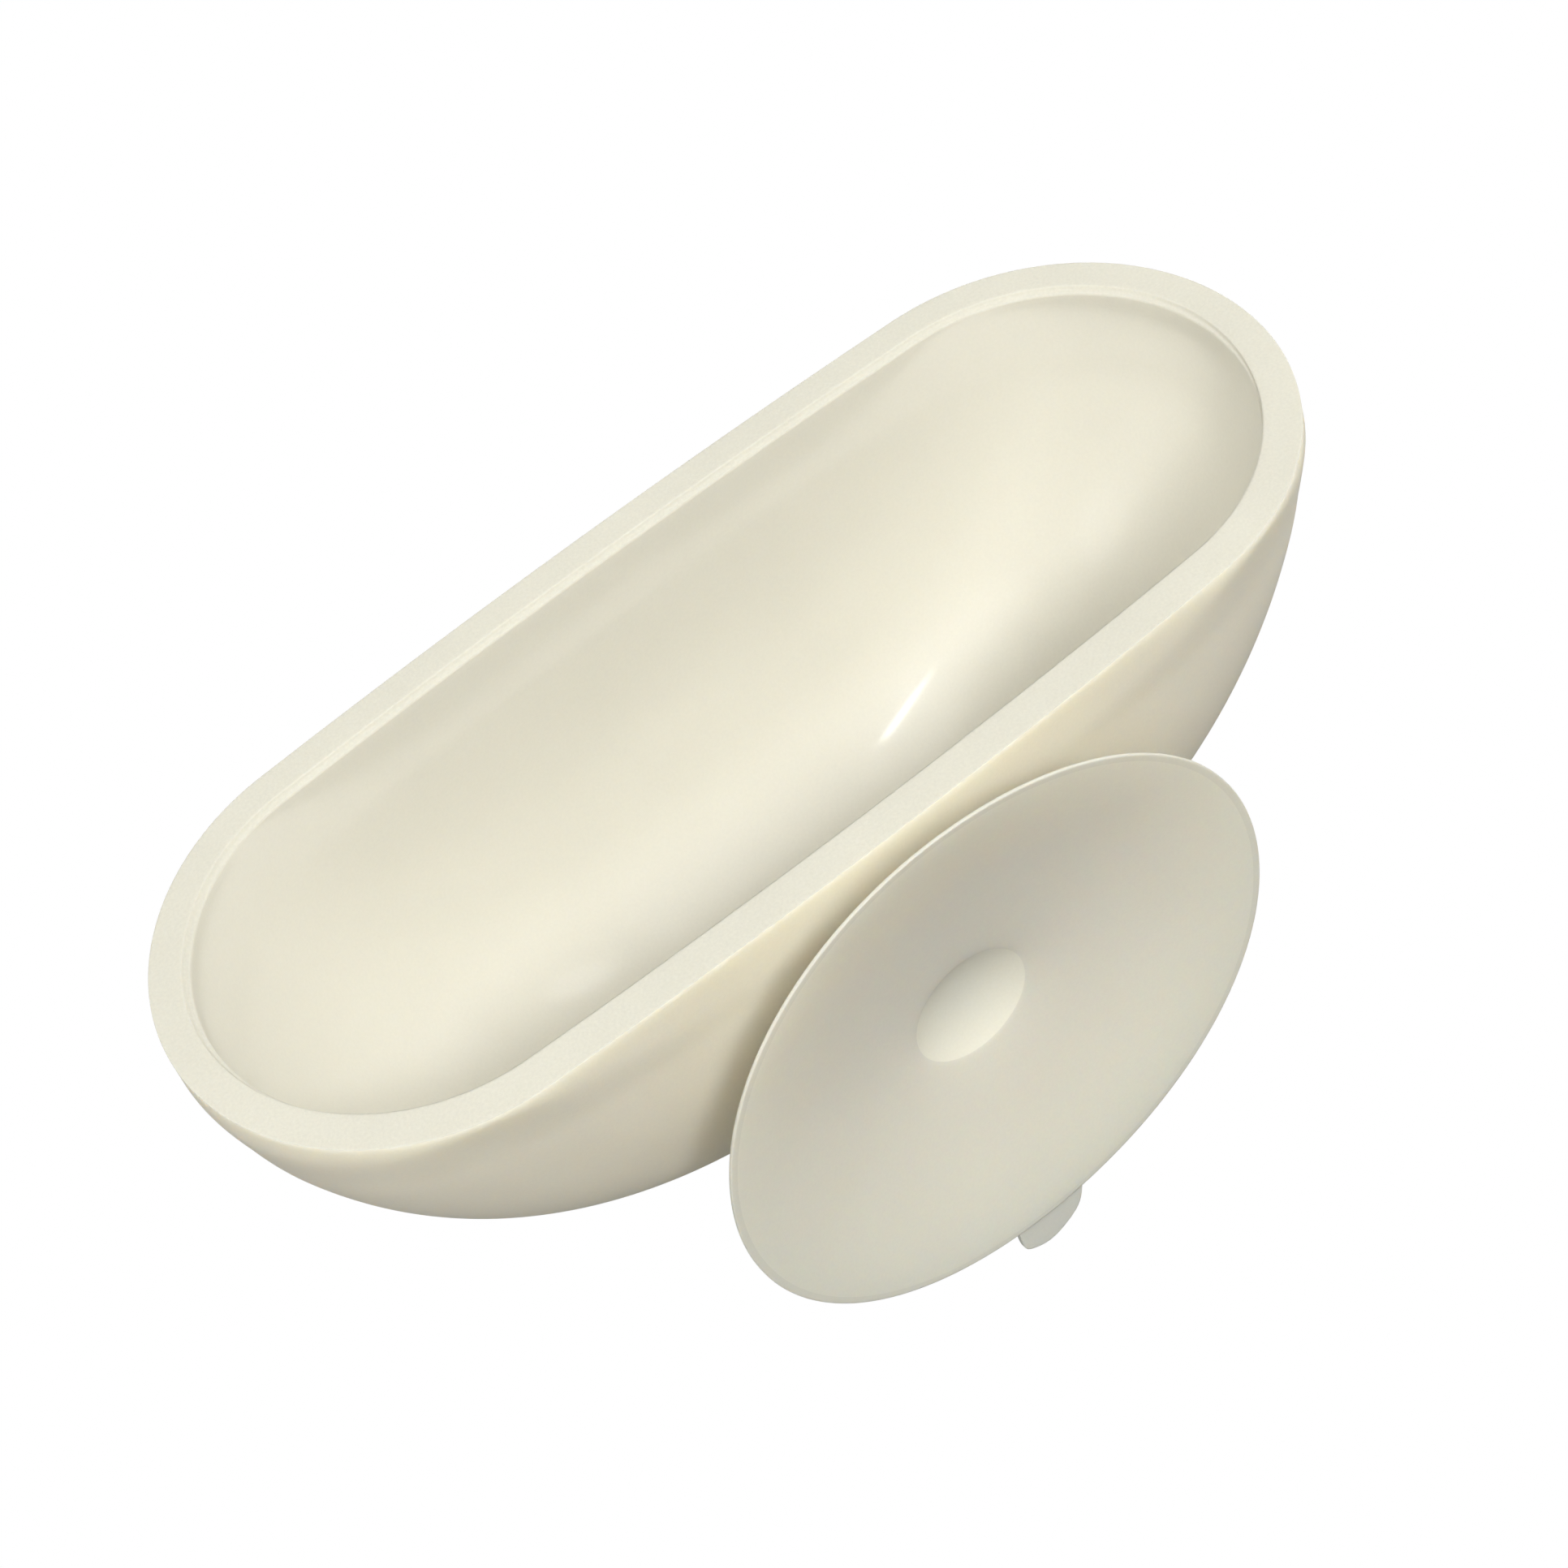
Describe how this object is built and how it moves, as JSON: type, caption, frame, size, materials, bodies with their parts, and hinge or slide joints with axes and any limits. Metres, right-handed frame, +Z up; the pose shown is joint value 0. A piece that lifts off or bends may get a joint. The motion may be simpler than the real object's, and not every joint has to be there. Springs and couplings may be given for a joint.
{
  "type": "suction-mounted trough bowl",
  "caption": "Boat-shaped trough bowl with a thick flat rim, held to a wall by a broad soft suction cup with a pull tab.",
  "frame": {"origin": "centre of the suction cup's lip circle, on the wall plane", "axes": "+X along the bowl, +Y away from the wall, +Z up with the bowl's rim level"},
  "size_m": [0.16, 0.0748, 0.086],
  "materials": {
    "bowl_elastomer": "matte rim and outside, satin inside",
    "cup_elastomer": "soft satin",
    "stud_plastic": "matte"
  },
  "bodies": {
    "cup": {"suction_cup": "cup_elastomer", "anchor_stud": "stud_plastic"},
    "trough": {"bowl": "bowl_elastomer"},
    "tab": {"pull_tab": "cup_elastomer"}
  },
  "joints": [
    {"name": "bowl_swivel", "type": "hinge", "parent": "cup", "child": "trough", "pos_m": [0, 0.012, 0], "axis": [0, 1, 0], "continuous": true},
    {"name": "tab_flex", "type": "hinge", "parent": "cup", "child": "tab", "pos_m": [0, 0.0017, -0.0391], "axis": [1, 0, 0], "range_deg": [0, 70], "stiffness_Nm_per_rad": 0.0007}
  ]
}
